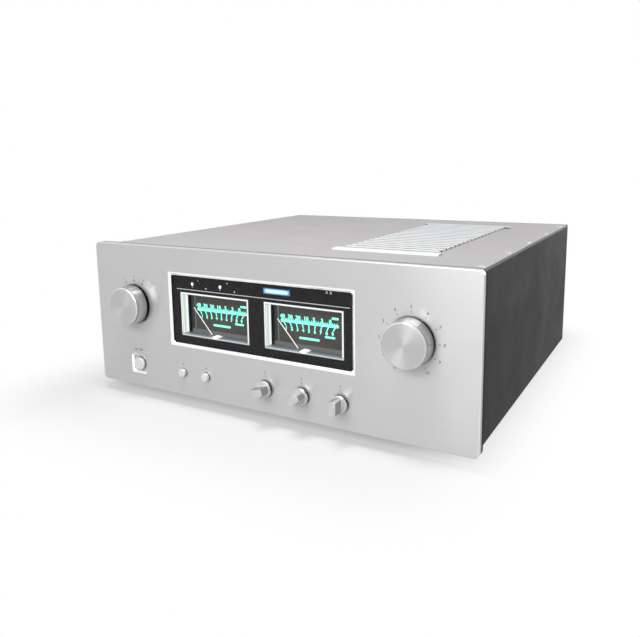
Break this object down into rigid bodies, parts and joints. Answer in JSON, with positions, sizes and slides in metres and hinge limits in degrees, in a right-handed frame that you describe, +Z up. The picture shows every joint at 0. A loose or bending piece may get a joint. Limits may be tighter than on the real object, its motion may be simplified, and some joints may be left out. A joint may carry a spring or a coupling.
{
  "type": "hi-fi amplifier",
  "caption": "Silver hi-fi amplifier with twin lit level meters, turned knobs and buttons on a brushed face plate, a grey cover with a slatted vent, and black sides.",
  "frame": {"origin": "on the floor plane, under the middle of the whole part's box", "axes": "+X to the right seen from the front, +Y from the front panel to the back, +Z up"},
  "size_m": [0.43, 0.4494, 0.168],
  "materials": {
    "brushed_face": "fine horizontal brushed grain, silver anodised",
    "turned_metal": "spun satin, bright bevelled rim",
    "bright_trim": "polished",
    "cover_metal": "fine matt grey",
    "black_metal": "matt black powder coat",
    "slat_metal": "light satin",
    "window": "clear",
    "mask_black": "smooth black print",
    "lit_acrylic": "milky, edge lit",
    "dial_face": "dark, lit print",
    "needle_white": "pale",
    "lamp_white": "lit white",
    "lamp_blue": "lit blue",
    "circuit_board": "green lacquer",
    "dark_plastic": "moulded",
    "plated_steel": "zinc plated",
    "gold_plate": "gold plated",
    "cap_red": "clear red",
    "cap_black": "black",
    "foot_rubber": "matt",
    "winding": "taped winding",
    "sink_black": "black anodised",
    "can_blue": "sleeved can"
  },
  "bodies": {
    "chassis": {"front_panel": "brushed_face", "sub_panel": "black_metal", "window_bezel": "bright_trim", "window_glass": "window", "display_mask": "mask_black", "meter_frame_left": "lit_acrylic", "meter_frame_right": "lit_acrylic", "meter_housing_left": "dark_plastic", "meter_housing_right": "dark_plastic", "meter_dial_left": "dial_face", "meter_dial_right": "dial_face", "meter_movements": "plated_steel", "indicator_lamps": "lamp_white", "pilot_lamp": "lamp_blue", "display_board": "circuit_board", "selector_switch": "dark_plastic", "volume_control": "plated_steel", "tone_controls": "plated_steel", "control_nuts": "plated_steel", "push_switches": "dark_plastic", "side_panel_left": "black_metal", "side_panel_right": "black_metal", "base_plate": "black_metal", "rear_panel": "black_metal", "top_cover": "cover_metal", "top_grille": "slat_metal", "case_screws": "plated_steel", "feet": "foot_rubber", "foot_screws": "plated_steel", "transformer": "winding", "transformer_bolt": "plated_steel", "heatsink": "sink_black", "output_transistors": "dark_plastic", "amplifier_board": "circuit_board", "supply_board": "circuit_board", "filter_capacitors": "can_blue", "board_spacers": "plated_steel", "speaker_terminals": "gold_plate", "input_sockets": "gold_plate", "mains_inlet": "dark_plastic"},
    "volume": {"volume_knob": "turned_metal", "volume_shaft": "plated_steel"},
    "selector": {"selector_knob": "turned_metal", "selector_shaft": "plated_steel"},
    "bass": {"bass_knob": "turned_metal", "bass_shaft": "plated_steel"},
    "treble": {"treble_knob": "turned_metal", "treble_shaft": "plated_steel"},
    "balance": {"balance_knob": "turned_metal", "balance_shaft": "plated_steel"},
    "needle_left": {"meter_needle_left": "needle_white"},
    "needle_right": {"meter_needle_right": "needle_white"},
    "power": {"power_button": "turned_metal"},
    "speaker_a": {"speaker_button_a": "turned_metal"},
    "speaker_b": {"speaker_button_b": "turned_metal"},
    "cap_1": {"terminal_cap_1": "cap_black"},
    "cap_2": {"terminal_cap_2": "cap_red"},
    "cap_3": {"terminal_cap_3": "cap_black"},
    "cap_4": {"terminal_cap_4": "cap_red"}
  },
  "joints": [
    {"name": "volume_turn", "type": "hinge", "parent": "chassis", "child": "volume", "pos_m": [0.1556, -0.20725, 0.1042], "axis": [0, 1, 0], "range_deg": [-176, 124]},
    {"name": "selector_turn", "type": "hinge", "parent": "chassis", "child": "selector", "pos_m": [-0.1596, -0.20725, 0.1042], "axis": [0, 1, 0], "range_deg": [-28, 28]},
    {"name": "bass_turn", "type": "hinge", "parent": "chassis", "child": "bass", "pos_m": [0.0073, -0.20725, 0.038], "axis": [0, 1, 0], "range_deg": [-228, 72]},
    {"name": "treble_turn", "type": "hinge", "parent": "chassis", "child": "treble", "pos_m": [0.048, -0.20725, 0.038], "axis": [0, 1, 0], "range_deg": [-200, 100]},
    {"name": "balance_turn", "type": "hinge", "parent": "chassis", "child": "balance", "pos_m": [0.0887, -0.20725, 0.038], "axis": [0, 1, 0], "range_deg": [-150, 150]},
    {"name": "needle_left_swing", "type": "hinge", "parent": "chassis", "child": "needle_left", "pos_m": [-0.05525, -0.19225, 0.0652], "axis": [0, 1, 0], "range_deg": [0, 81.6], "stiffness_Nm_per_rad": 0.0006, "springref_deg": -8.59},
    {"name": "needle_right_swing", "type": "hinge", "parent": "chassis", "child": "needle_right", "pos_m": [0.04825, -0.19225, 0.0652], "axis": [0, 1, 0], "range_deg": [0, 81.6], "stiffness_Nm_per_rad": 0.0006, "springref_deg": -8.59},
    {"name": "power_push", "type": "slide", "parent": "chassis", "child": "power", "axis": [0, 1, 0], "range_m": [0, 0.0025], "stiffness_N_per_m": 400, "springref_m": -0.002},
    {"name": "speaker_a_push", "type": "slide", "parent": "chassis", "child": "speaker_a", "axis": [0, 1, 0], "range_m": [0, 0.0025], "stiffness_N_per_m": 400, "springref_m": -0.002},
    {"name": "speaker_b_push", "type": "slide", "parent": "chassis", "child": "speaker_b", "axis": [0, 1, 0], "range_m": [0, 0.0025], "stiffness_N_per_m": 400, "springref_m": -0.002},
    {"name": "cap_1_turn", "type": "hinge", "parent": "chassis", "child": "cap_1", "pos_m": [-0.036, 0.21675, 0.062], "axis": [0, 1, 0], "range_deg": [0, 720]},
    {"name": "cap_2_turn", "type": "hinge", "parent": "chassis", "child": "cap_2", "pos_m": [-0.004, 0.21675, 0.062], "axis": [0, 1, 0], "range_deg": [0, 720]},
    {"name": "cap_3_turn", "type": "hinge", "parent": "chassis", "child": "cap_3", "pos_m": [0.028, 0.21675, 0.062], "axis": [0, 1, 0], "range_deg": [0, 720]},
    {"name": "cap_4_turn", "type": "hinge", "parent": "chassis", "child": "cap_4", "pos_m": [0.06, 0.21675, 0.062], "axis": [0, 1, 0], "range_deg": [0, 720]}
  ]
}
